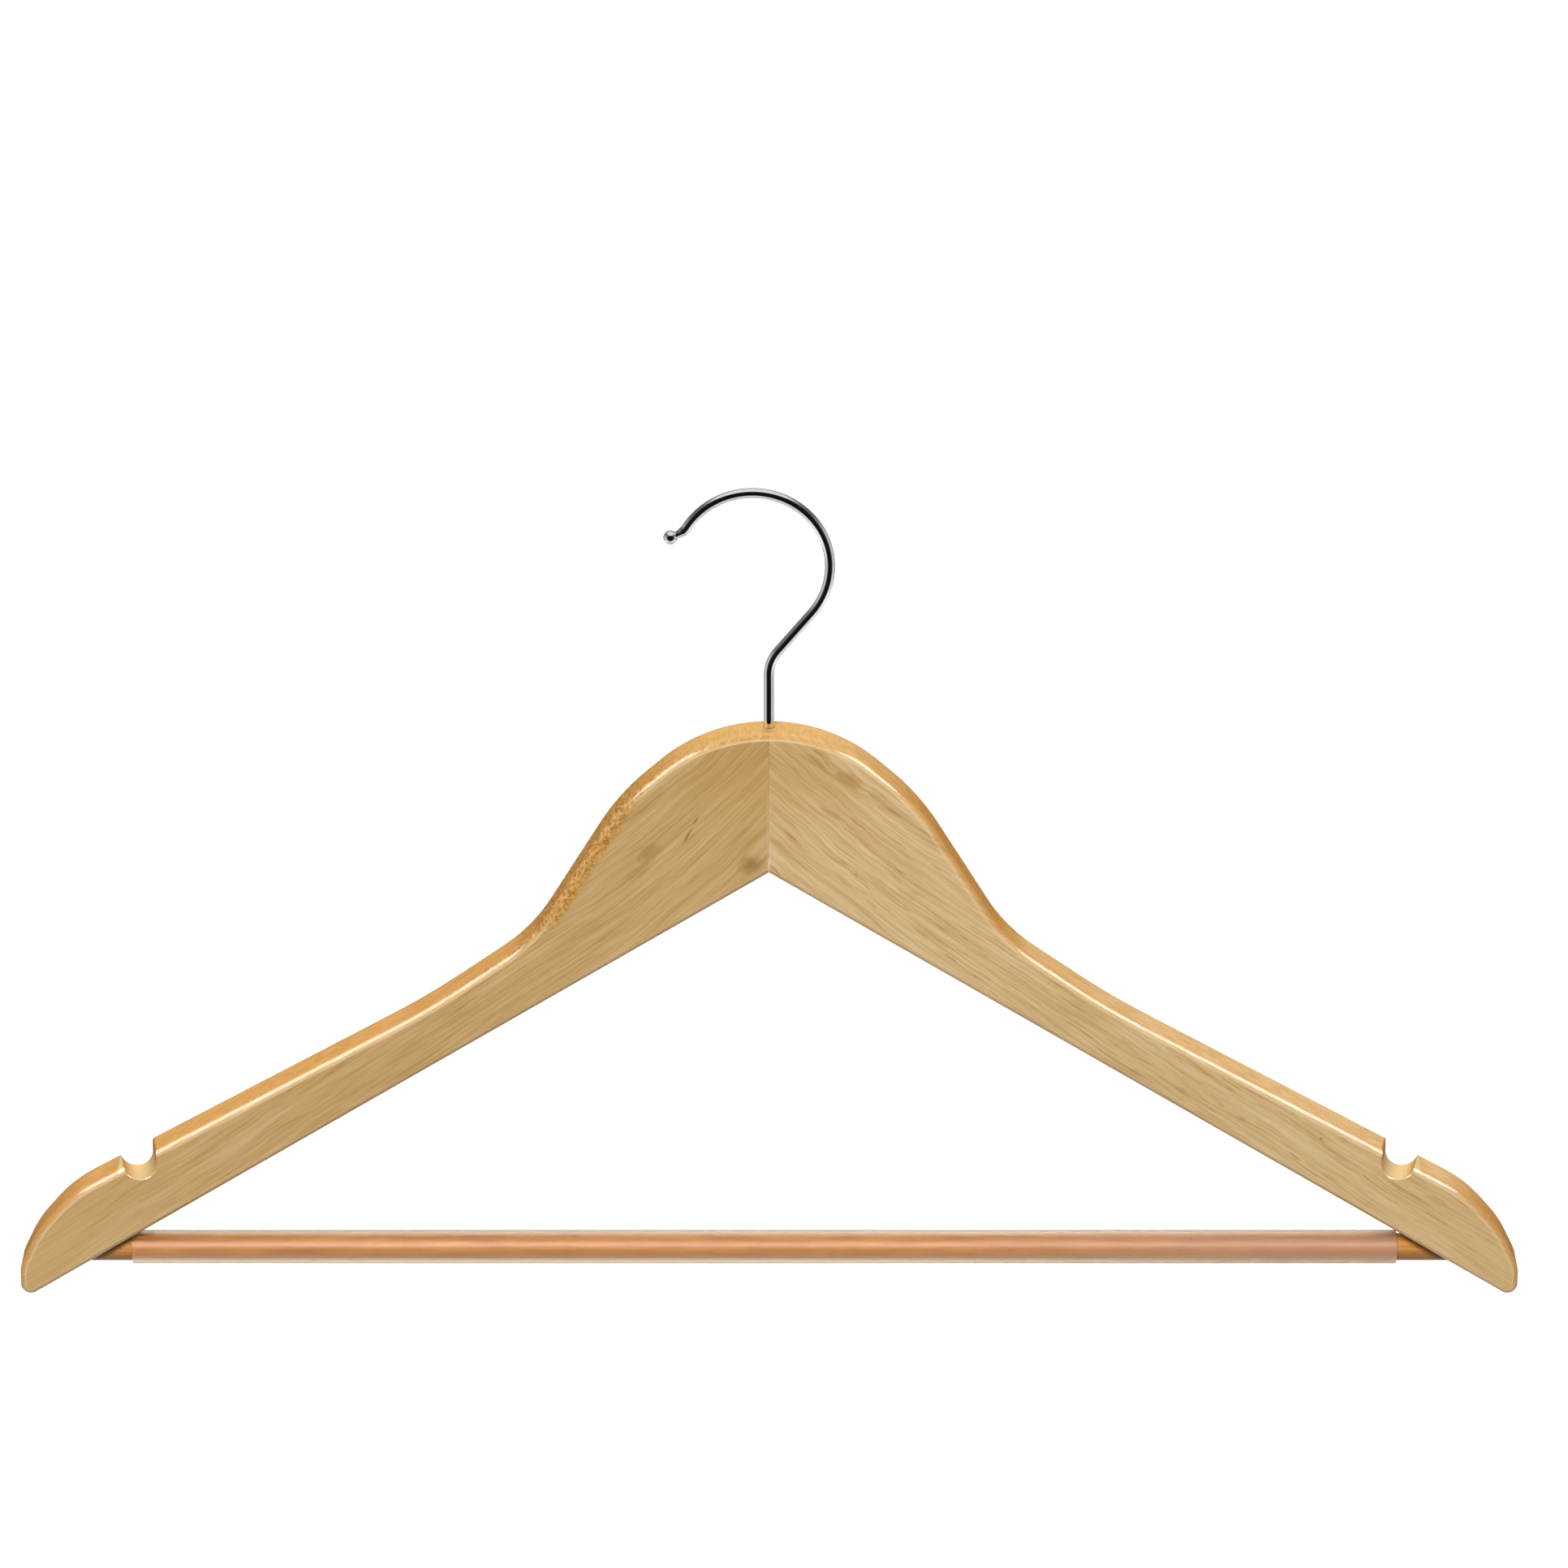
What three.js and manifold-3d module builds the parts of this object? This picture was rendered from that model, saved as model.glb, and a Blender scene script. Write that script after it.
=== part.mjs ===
// Wooden suit hanger with a swivelling wire hook and a sleeved trouser bar.
// Millimetres. +X runs along the arms, the front face looks to -Y and +Z is up.
// x = 0 is the mitre seam and the swivel axis, y = 0 the middle of the thickness,
// z = 0 the lowest points of the two arm tips.
import * as THREE from "three";
import { mergeVertices } from "three/addons/utils/BufferGeometryUtils.js";
import Module from "manifold-3d";

const wasm = await Module();
wasm.setup();

// ---- driving dimensions ----
const HALF_LENGTH = 222.5; // swivel axis to the outer side of a tip
const THICKNESS = 14;
const EDGE_RADIUS = 2.2; // round-over on all the long edges of the arms
const GAP = 0.3; // between pieces that touch in the real thing

const CROWN_Z = 177.7; // top of the dome, where the hook goes in
const CROWN_HALF_FLAT = 17.9; // corner of the dome before it is rounded
const APEX_Z = 134.1; // the two undersides meet here, under the dome
const UNDERSIDE_SLOPE = 0.6133; // fall of the underside per mm outwards

const NOTCH_X = 186;
const NOTCH_Z = 42.4;
const NOTCH_RADIUS = 4.85;
const NOTCH_LIP_RADIUS = 1.6;
const NOTCH_SKEW = 0.143; // how far the notch drifts down the shoulder, per mm of depth

const WIRE_RADIUS = 1.5;
const HOOK_CENTRE_X = -4.7;
const HOOK_CENTRE_Z = 227.1;
const HOOK_RADIUS = 22.4; // to the middle of the wire
const HOOK_RUN_ON = THREE.MathUtils.degToRad(-40); // where the straight meets the ring
const HOOK_RUN_OFF = THREE.MathUtils.degToRad(148); // where the tip starts to curl out
const SHANK_BEND_RADIUS = 11.5;
const SHANK_END_Z = 137.2;
const TIP_CURL_RADIUS = 5;
const TIP_CURL_ANGLE = THREE.MathUtils.degToRad(34);
const TIP_NECK = 2.7;
const BALL_RADIUS = 2.1;

const HOOK_BORE_RADIUS = 1.85;
const COUNTERBORE_RADIUS = 4.2;
const COUNTERBORE_TOP_Z = 143.6;
const WASHER_RADIUS = 3.6;
const WASHER_HEIGHT = 0.6;
const NUT_RADIUS = 3.15; // across the corners
const NUT_HEIGHT = 3.4;

const SPLINE_HALF_WIDTH = 12;
const SPLINE_THICKNESS = 6;
const SPLINE_BOTTOM_Z = 147;
const SPLINE_TOP_Z = 170;

const BAR_Z = 12.8;
const BAR_RADIUS = 4.05;
const BAR_HALF_LENGTH = 213.5;
const SLEEVE_INNER_RADIUS = 4.37;
const SLEEVE_OUTER_RADIUS = 5;
const SLEEVE_HALF_LENGTH = 187.8;
const SLEEVE_X = -1.4; // the sleeve sits a little to the left on the bar

const NAIL_X = 207;
const NAIL_RADIUS = 0.7;
const NAIL_LENGTH = 11.5;
const NAIL_HEAD_RADIUS = 1.25;
const NAIL_HEAD_HEIGHT = 0.5;

const ROUND_STEP = THREE.MathUtils.degToRad(6); // widest turn between two outline points

// ---- helpers ----
function toSolid(geometry) {
  const bare = new THREE.BufferGeometry();
  const loose = geometry.index ? geometry.toNonIndexed() : geometry;
  bare.setAttribute("position", loose.getAttribute("position"));
  const welded = mergeVertices(bare, 1e-4);
  return new wasm.Manifold(
    new wasm.Mesh({
      numProp: 3,
      vertProperties: welded.attributes.position.array,
      triVerts: new Uint32Array(welded.index.array),
    }),
  );
}

function toGeometry(solid) {
  const mesh = solid.getMesh();
  const geometry = new THREE.BufferGeometry();
  geometry.setAttribute("position", new THREE.BufferAttribute(mesh.vertProperties, 3));
  geometry.setIndex(new THREE.BufferAttribute(mesh.triVerts, 1));
  return geometry;
}

// A closed outline through corners [x, z, radius]; each corner with a radius is an arc.
function roundedOutline(corners) {
  const shape = [];
  corners.forEach(([x, z, radius = 0], i) => {
    const here = new THREE.Vector2(x, z);
    if (radius === 0) {
      shape.push(here);
      return;
    }
    const before = new THREE.Vector2(...corners.at(i - 1));
    const after = new THREE.Vector2(...corners[(i + 1) % corners.length]);
    const back = before.sub(here).normalize();
    const on = after.sub(here).normalize();
    const half = Math.acos(back.dot(on)) / 2;
    const middle = back.clone().add(on).normalize();
    const centre = here.clone().addScaledVector(middle, radius / Math.sin(half));
    const start = here.clone().addScaledVector(back, radius / Math.tan(half)).sub(centre);
    const turn = (Math.PI - 2 * half) * Math.sign(back.cross(on));
    const steps = Math.ceil(Math.abs(turn) / ROUND_STEP);
    for (let k = 0; k <= steps; k += 1) {
      const spoke = start.clone().rotateAround(new THREE.Vector2(), (-turn * k) / steps);
      shape.push(centre.clone().add(spoke));
    }
  });
  return new THREE.Shape(shape);
}

// A slab with its outline in the XZ plane, centred on y = 0.
function slab(shape, thickness, edge = 0) {
  const depth = thickness - 2 * edge;
  const geometry = new THREE.ExtrudeGeometry(shape, {
    depth,
    bevelEnabled: edge > 0,
    bevelThickness: edge,
    bevelSize: edge,
    bevelOffset: -edge,
    bevelSegments: 4,
  });
  geometry.translate(0, 0, -depth / 2);
  geometry.rotateX(Math.PI / 2);
  return toSolid(geometry);
}

function block(x0, x1, y0, y1, z0, z1) {
  const geometry = new THREE.BoxGeometry(x1 - x0, y1 - y0, z1 - z0);
  geometry.translate((x0 + x1) / 2, (y0 + y1) / 2, (z0 + z1) / 2);
  return toSolid(geometry);
}

// A cylinder from one end point to the other.
function rod(from, to, radius, sides = 28) {
  const start = new THREE.Vector3(...from);
  const along = new THREE.Vector3(...to).sub(start);
  const geometry = new THREE.CylinderGeometry(radius, radius, along.length(), sides);
  geometry.translate(0, along.length() / 2, 0);
  geometry.applyQuaternion(
    new THREE.Quaternion().setFromUnitVectors(
      new THREE.Vector3(0, 1, 0),
      along.clone().normalize(),
    ),
  );
  geometry.translate(start.x, start.y, start.z);
  return toSolid(geometry);
}

function undersideZ(x) {
  return APEX_Z - UNDERSIDE_SLOPE * Math.abs(x);
}

// ---- the two arms, as one outline first ----
// Radius of the dome: the two rounds leave a short flat between them, across the swivel axis.
const FLANK_X = 43.8;
const FLANK_Z = 155.3;
const crownTurn = Math.atan2(CROWN_Z - FLANK_Z, FLANK_X - CROWN_HALF_FLAT);
const CROWN_RADIUS = (CROWN_HALF_FLAT / Math.tan(crownTurn / 2)) * 0.97;

// The two ends of the straight shoulder.
const SHOULDER_X = 100.7;
const SHOULDER_Z = 91.5;
const SHOULDER_END_X = 206.5;
const SHOULDER_END_Z = 32.6;

const rightSide = [
  [CROWN_HALF_FLAT, CROWN_Z, CROWN_RADIUS],
  [FLANK_X, FLANK_Z, 70], // dome rolls over into the steep neck
  [69.6, 113.3, 50], // neck runs out into the shoulder
  [SHOULDER_X, SHOULDER_Z, 200],
  [SHOULDER_END_X, SHOULDER_END_Z, 40], // shoulder rolls over into the tip
  [217, 20.5, 35],
  [HALF_LENGTH, 9, 12],
  [HALF_LENGTH, undersideZ(HALF_LENGTH), 3],
];
const leftSide = rightSide.map(([x, z, radius]) => [-x, z, radius]).reverse();
const outline = roundedOutline([...rightSide, [0, APEX_Z], ...leftSide]);
const blank = slab(outline, THICKNESS, EDGE_RADIUS);

// ---- strap notches ----
// A scoop with an upright inner wall, eased where that wall meets the shoulder. It runs a little
// askew: from the front face to the back it drifts outwards, down the line of the shoulder.
function notchCutter(side) {
  const slope = (SHOULDER_END_Z - SHOULDER_Z) / (SHOULDER_END_X - SHOULDER_X);
  const wallX = NOTCH_X - NOTCH_RADIUS;
  const lipZ = SHOULDER_Z + 0.1 + slope * (wallX - SHOULDER_X);
  const above = 30;
  const corners = [
    [wallX, NOTCH_Z - NOTCH_RADIUS, NOTCH_RADIUS * 0.97],
    [wallX, lipZ, NOTCH_LIP_RADIUS],
    [wallX - above, lipZ - slope * above],
    [wallX - above, lipZ + above],
    [NOTCH_X + NOTCH_RADIUS, lipZ + above],
    [NOTCH_X + NOTCH_RADIUS, NOTCH_Z - NOTCH_RADIUS, NOTCH_RADIUS * 0.97],
  ];
  const straight = slab(
    roundedOutline(corners.map(([x, z, radius]) => [side * x, z, radius])),
    2 * THICKNESS,
  );
  const driftX = side * NOTCH_SKEW;
  const driftZ = slope * NOTCH_SKEW;
  const reach = THICKNESS / 2; // no drift at the front face
  const skew = [
    [1, 0, 0, 0],
    [driftX, 1, driftZ, 0],
    [0, 0, 1, 0],
    [driftX * reach, 0, driftZ * reach, 1],
  ];
  return straight.transform(skew.flat());
}

// ---- hook ----
const wirePath = new THREE.Path();
const ringStartX = HOOK_CENTRE_X + HOOK_RADIUS * Math.cos(HOOK_RUN_ON);
const ringStartZ = HOOK_CENTRE_Z + HOOK_RADIUS * Math.sin(HOOK_RUN_ON);
const lean = -HOOK_RUN_ON; // how far the straight run leans from upright
const shankCornerZ = ringStartZ - ringStartX / Math.tan(lean);
const bendStartZ = shankCornerZ - SHANK_BEND_RADIUS * Math.tan(lean / 2);
wirePath.moveTo(0, SHANK_END_Z);
wirePath.lineTo(0, bendStartZ);
wirePath.absarc(SHANK_BEND_RADIUS, bendStartZ, SHANK_BEND_RADIUS, Math.PI, Math.PI - lean, true);
wirePath.absarc(HOOK_CENTRE_X, HOOK_CENTRE_Z, HOOK_RADIUS, HOOK_RUN_ON, HOOK_RUN_OFF, false);
const curlX = HOOK_CENTRE_X + (HOOK_RADIUS + TIP_CURL_RADIUS) * Math.cos(HOOK_RUN_OFF);
const curlZ = HOOK_CENTRE_Z + (HOOK_RADIUS + TIP_CURL_RADIUS) * Math.sin(HOOK_RUN_OFF);
const curlFrom = HOOK_RUN_OFF - Math.PI;
const curlTo = curlFrom - TIP_CURL_ANGLE;
wirePath.absarc(curlX, curlZ, TIP_CURL_RADIUS, curlFrom, curlTo, true);
const ballX = curlX + TIP_CURL_RADIUS * Math.cos(curlTo) + TIP_NECK * Math.sin(curlTo);
const ballZ = curlZ + TIP_CURL_RADIUS * Math.sin(curlTo) - TIP_NECK * Math.cos(curlTo);
wirePath.lineTo(ballX, ballZ);

class UprightCurve extends THREE.Curve {
  getPoint(t) {
    const point = wirePath.getPoint(t);
    return new THREE.Vector3(point.x, 0, point.y);
  }
}

function hookSolid() {
  const section = new THREE.Shape();
  section.absarc(0, 0, WIRE_RADIUS, 0, 2 * Math.PI, false);
  const wire = new THREE.ExtrudeGeometry(section, {
    steps: 84,
    curveSegments: 7,
    extrudePath: new UprightCurve(),
  });
  const ball = new THREE.SphereGeometry(BALL_RADIUS, 18, 12);
  ball.translate(ballX, 0, ballZ);
  return toSolid(wire).add(toSolid(ball));
}

// ---- hook fixing, hidden in the counterbore under the dome ----
const washerTop = COUNTERBORE_TOP_Z - GAP;
const washerBottom = washerTop - WASHER_HEIGHT;
const nutTop = washerBottom - GAP;
const nutBottom = nutTop - NUT_HEIGHT;
const threadHole = rod([0, 0, 130], [0, 0, 150], WIRE_RADIUS + GAP);
const washer = rod([0, 0, washerBottom], [0, 0, washerTop], WASHER_RADIUS).subtract(threadHole);
const nut = rod([0, 0, nutBottom], [0, 0, nutTop], NUT_RADIUS, 6).subtract(threadHole);

// ---- spline across the seam ----
const hookBore = rod([0, 0, 120], [0, 0, 190], HOOK_BORE_RADIUS);
const spline = block(
  -SPLINE_HALF_WIDTH,
  SPLINE_HALF_WIDTH,
  -SPLINE_THICKNESS / 2,
  SPLINE_THICKNESS / 2,
  SPLINE_BOTTOM_Z,
  SPLINE_TOP_Z,
).subtract(hookBore);
const splineSlot = block(
  -SPLINE_HALF_WIDTH - GAP,
  SPLINE_HALF_WIDTH + GAP,
  -SPLINE_THICKNESS / 2 - GAP,
  SPLINE_THICKNESS / 2 + GAP,
  SPLINE_BOTTOM_Z - GAP,
  SPLINE_TOP_Z + GAP,
);

// ---- trouser bar, its sleeve and the two nails ----
const headTop = THICKNESS / 2 - GAP;
const headBottom = headTop - NAIL_HEAD_HEIGHT;
const nailPoint = headTop - NAIL_LENGTH;

function nail(side) {
  const x = side * NAIL_X;
  const shank = rod([x, nailPoint, BAR_Z], [x, headBottom + 0.1, BAR_Z], NAIL_RADIUS, 16);
  const head = rod([x, headBottom, BAR_Z], [x, headTop, BAR_Z], NAIL_HEAD_RADIUS, 20);
  return shank.add(head);
}

function nailHole(side) {
  const x = side * NAIL_X;
  const shaft = rod([x, nailPoint - GAP, BAR_Z], [x, 10, BAR_Z], NAIL_RADIUS + GAP, 16);
  const seat = rod([x, headBottom - GAP, BAR_Z], [x, 10, BAR_Z], NAIL_HEAD_RADIUS + GAP, 20);
  return shaft.add(seat);
}

function barHole(side) {
  const inner = [side * 150, 0, BAR_Z];
  const outer = [side * (BAR_HALF_LENGTH + GAP), 0, BAR_Z];
  return rod(inner, outer, BAR_RADIUS + GAP, 32);
}

const bar = rod([-BAR_HALF_LENGTH, 0, BAR_Z], [BAR_HALF_LENGTH, 0, BAR_Z], BAR_RADIUS, 32)
  .subtract(nailHole(-1))
  .subtract(nailHole(1));
const sleeveFrom = [SLEEVE_X - SLEEVE_HALF_LENGTH, 0, BAR_Z];
const sleeveTo = [SLEEVE_X + SLEEVE_HALF_LENGTH, 0, BAR_Z];
const sleeve = rod(sleeveFrom, sleeveTo, SLEEVE_OUTER_RADIUS, 32).subtract(
  rod([-200, 0, BAR_Z], [200, 0, BAR_Z], SLEEVE_INNER_RADIUS, 32),
);

function arm(side) {
  const reach = 300;
  const near = (side * GAP) / 2;
  const far = side * reach;
  const half = block(Math.min(near, far), Math.max(near, far), -20, 20, -20, reach);
  const counterbore = rod([0, 0, 120], [0, 0, COUNTERBORE_TOP_Z], COUNTERBORE_RADIUS);
  return blank
    .intersect(half)
    .subtract(notchCutter(side))
    .subtract(hookBore)
    .subtract(counterbore)
    .subtract(splineSlot)
    .subtract(barHole(side))
    .subtract(nailHole(side));
}

// ---- materials and nodes ----
const wood = new THREE.MeshStandardMaterial({ color: 0xc9a56f, roughness: 0.45 });
const splineWood = new THREE.MeshStandardMaterial({ color: 0xb9945f, roughness: 0.7 });
const barWood = new THREE.MeshStandardMaterial({ color: 0xbf8a4c, roughness: 0.5 });
const chrome = new THREE.MeshStandardMaterial({ color: 0xd8d8da, metalness: 1, roughness: 0.1 });
const steel = new THREE.MeshStandardMaterial({ color: 0xa9a9ac, metalness: 1, roughness: 0.35 });
const clearVinyl = new THREE.MeshStandardMaterial({
  color: 0xe3ddd6,
  roughness: 0.2,
  transparent: true,
  opacity: 0.35,
});

const pieces = [
  ["left_arm", arm(-1), wood],
  ["right_arm", arm(1), wood],
  ["mitre_spline", spline, splineWood],
  ["hook", hookSolid(), chrome],
  ["hook_washer", washer, steel],
  ["hook_lock_nut", nut, steel],
  ["trouser_bar", bar, barWood],
  ["bar_sleeve", sleeve, clearVinyl],
  ["left_bar_nail", nail(-1), steel],
  ["right_bar_nail", nail(1), steel],
];

const hanger = new THREE.Group();
hanger.name = "clothes_hanger";
for (const [name, solid, material] of pieces) {
  const mesh = new THREE.Mesh(toGeometry(solid), material);
  mesh.name = name;
  hanger.add(mesh);
}

export default hanger;
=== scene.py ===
"""Looks of the wooden suit hanger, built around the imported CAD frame.

Shapes are worked out in millimetres and written to Blender in metres. x = 0 is the mitre seam
and the swivel axis, y = 0 the middle of the thickness, z = 0 the lowest points of the arm tips.
"""

import math

import bmesh
import bpy
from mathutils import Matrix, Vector

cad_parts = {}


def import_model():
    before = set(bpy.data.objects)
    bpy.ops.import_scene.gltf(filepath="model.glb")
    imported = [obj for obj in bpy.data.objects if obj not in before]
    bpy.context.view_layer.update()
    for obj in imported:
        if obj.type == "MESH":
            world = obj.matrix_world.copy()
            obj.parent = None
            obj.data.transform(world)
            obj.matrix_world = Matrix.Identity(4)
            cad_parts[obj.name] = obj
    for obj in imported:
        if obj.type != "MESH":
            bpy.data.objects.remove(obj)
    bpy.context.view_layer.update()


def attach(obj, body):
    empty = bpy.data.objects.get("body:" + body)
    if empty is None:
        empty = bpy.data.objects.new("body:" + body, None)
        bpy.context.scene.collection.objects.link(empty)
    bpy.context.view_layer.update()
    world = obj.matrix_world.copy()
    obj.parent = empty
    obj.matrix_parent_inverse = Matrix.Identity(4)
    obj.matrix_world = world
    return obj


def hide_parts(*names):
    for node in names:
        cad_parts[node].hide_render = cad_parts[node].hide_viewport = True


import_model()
MM = 0.001

# ---------------------------------------------------------------- dimensions, mm
HALF_LENGTH = 222.5
THICKNESS = 14.0
EDGE_RADIUS = 2.2
CROWN_Z = 177.7
CROWN_HALF_FLAT = 17.9
FLANK = (43.8, 155.3)
NECK = (69.6, 113.3)
SHOULDER = (100.7, 91.5)
TIP_SHOULDER = (206.5, 32.6)
APEX_Z = 134.1
UNDERSIDE_SLOPE = 0.6133
NOTCH_X, NOTCH_Z, NOTCH_RADIUS, NOTCH_LIP = 186.0, 42.4, 4.85, 1.6
NOTCH_SKEW = 0.143
WIRE_RADIUS = 1.5
RING_X, RING_Z, RING_RADIUS = -4.7, 227.1, 22.4
RUN_ON, RUN_OFF = math.radians(-40), math.radians(148)
SHANK_BEND = 11.5
SHANK_END_Z = 137.2
CURL_RADIUS, CURL_ANGLE, TIP_NECK = 5.0, math.radians(34), 2.7
BALL_RADIUS = 2.1
BAR_Z, BAR_RADIUS, BAR_HALF = 12.8, 4.05, 213.5
SLEEVE_INNER, SLEEVE_OUTER, SLEEVE_HALF, SLEEVE_X = 4.37, 5.0, 187.8, -1.4
NAIL_X = 207.0
WIRE_BORE_RADIUS = 1.62
SPLINE_HALF_X, SPLINE_HALF_Y, SPLINE_BOTTOM, SPLINE_TOP = 12.0, 3.0, 147.0, 170.0
SPLINE_SIDE_SLACK, SPLINE_END_SLACK = 0.05, 0.1
TIP_CHEEK = (217.0, 20.5)
TIP_END_Z = 9.0
FLOOR_DEPTH, FLOOR_HALF = 2.2, 30.0  # metres
COUNTERBORE_RADIUS, COUNTERBORE_TOP = 4.2, 143.6
GRAIN_ANGLE = math.radians(35)


# ---------------------------------------------------------------- shape helpers
def rounded(corners, step=math.radians(3), closed=True):
    """Points of an outline through corners (x, z, radius), with each radius as an arc."""
    points = []
    count = len(corners)
    for i, (x, z, radius) in enumerate(corners):
        here = Vector((x, z))
        if radius <= 0:
            points.append(here)
            continue
        back = (Vector(corners[i - 1][:2]) - here).normalized()
        on = (Vector(corners[(i + 1) % count][:2]) - here).normalized()
        half = math.acos(max(-1.0, min(1.0, back.dot(on)))) / 2
        centre = here + (back + on).normalized() * (radius / math.sin(half))
        spoke = here + back * (radius / math.tan(half)) - centre
        side = 1.0 if back.x * on.y - back.y * on.x > 0 else -1.0
        turn = (math.pi - 2 * half) * side
        steps = max(2, math.ceil(abs(turn) / step))
        for k in range(steps + 1):
            a = -turn * k / steps
            points.append(
                centre
                + Vector(
                    (
                        spoke.x * math.cos(a) - spoke.y * math.sin(a),
                        spoke.x * math.sin(a) + spoke.y * math.cos(a),
                    )
                )
            )
    return points


def outward(points):
    """Unit normals of a closed outline that runs clockwise in (x, z)."""
    normals = []
    for i, p in enumerate(points):
        before = (p - points[i - 1]).normalized()
        after = (points[(i + 1) % len(points)] - p).normalized()
        n = Vector((-before.y, before.x)) + Vector((-after.y, after.x))
        n.normalize()
        n /= max(0.35, n.dot(Vector((-after.y, after.x))))
        normals.append(n)
    return normals


def mesh_object(name, vertices, faces, smooth=True):
    mesh = bpy.data.meshes.new(name)
    mesh.from_pydata([(x * MM, y * MM, z * MM) for x, y, z in vertices], [], faces)
    mesh.validate()
    bm = bmesh.new()
    bm.from_mesh(mesh)
    bmesh.ops.recalc_face_normals(bm, faces=bm.faces)
    bm.to_mesh(mesh)
    bm.free()
    if smooth:
        mesh.shade_smooth()
    obj = bpy.data.objects.new(name, mesh)
    bpy.context.scene.collection.objects.link(obj)
    return obj


def loft(name, rings, smooth=True):
    """A closed solid through rings of equally many points, with a flat face at each end."""
    size = len(rings[0])
    vertices = [p for ring in rings for p in ring]
    faces = []
    for r in range(len(rings) - 1):
        for i in range(size):
            j = (i + 1) % size
            a, b = r * size, (r + 1) * size
            faces.append((a + i, a + j, b + j, b + i))
    faces.append(tuple(range(size - 1, -1, -1)))
    faces.append(tuple(range((len(rings) - 1) * size, len(rings) * size)))
    return mesh_object(name, vertices, faces, smooth)


def lathe(name, profile, origin, axis, sides=48, closed=False):
    """A solid of revolution. Profile points are (distance along axis, radius)."""
    axis = Vector(axis).normalized()
    u = axis.orthogonal().normalized()
    w = axis.cross(u)
    origin = Vector(origin)
    vertices, faces = [], []
    for along, radius in profile:
        for k in range(sides):
            a = 2 * math.pi * k / sides
            vertices.append(origin + axis * along + (u * math.cos(a) + w * math.sin(a)) * radius)
    rows = len(profile)
    for r in range(rows if closed else rows - 1):
        s = (r + 1) % rows
        for k in range(sides):
            j = (k + 1) % sides
            faces.append((r * sides + k, r * sides + j, s * sides + j, s * sides + k))
    if not closed:
        faces.append(tuple(range(sides - 1, -1, -1)))
        faces.append(tuple(range((rows - 1) * sides, rows * sides)))
    return mesh_object(name, vertices, faces)


def apply_modifiers(obj):
    depsgraph = bpy.context.evaluated_depsgraph_get()
    depsgraph.update()
    made = bpy.data.meshes.new_from_object(obj.evaluated_get(depsgraph))
    old = obj.data
    obj.modifiers.clear()
    obj.data = made
    bpy.data.meshes.remove(old)


def carve(obj, cutter, operation="DIFFERENCE"):
    modifier = obj.modifiers.new("carve", "BOOLEAN")
    modifier.operation = operation
    modifier.solver = "EXACT"
    modifier.object = cutter
    apply_modifiers(obj)
    bpy.data.objects.remove(cutter)


def finish_edges(obj, angle=32):
    """Crisp arrises stay crisp, and the flat faces keep flat shading up to the round-overs."""
    bm = bmesh.new()
    bm.from_mesh(obj.data)
    bmesh.ops.remove_doubles(bm, verts=bm.verts, dist=2e-6)
    bmesh.ops.dissolve_degenerate(bm, edges=bm.edges, dist=1e-6)
    bm.to_mesh(obj.data)
    bm.free()
    obj.data.shade_smooth()
    obj.data.set_sharp_from_angle(angle=math.radians(angle))
    modifier = obj.modifiers.new("normals", "WEIGHTED_NORMAL")
    modifier.keep_sharp = True
    modifier.weight = 100
    apply_modifiers(obj)


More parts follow.
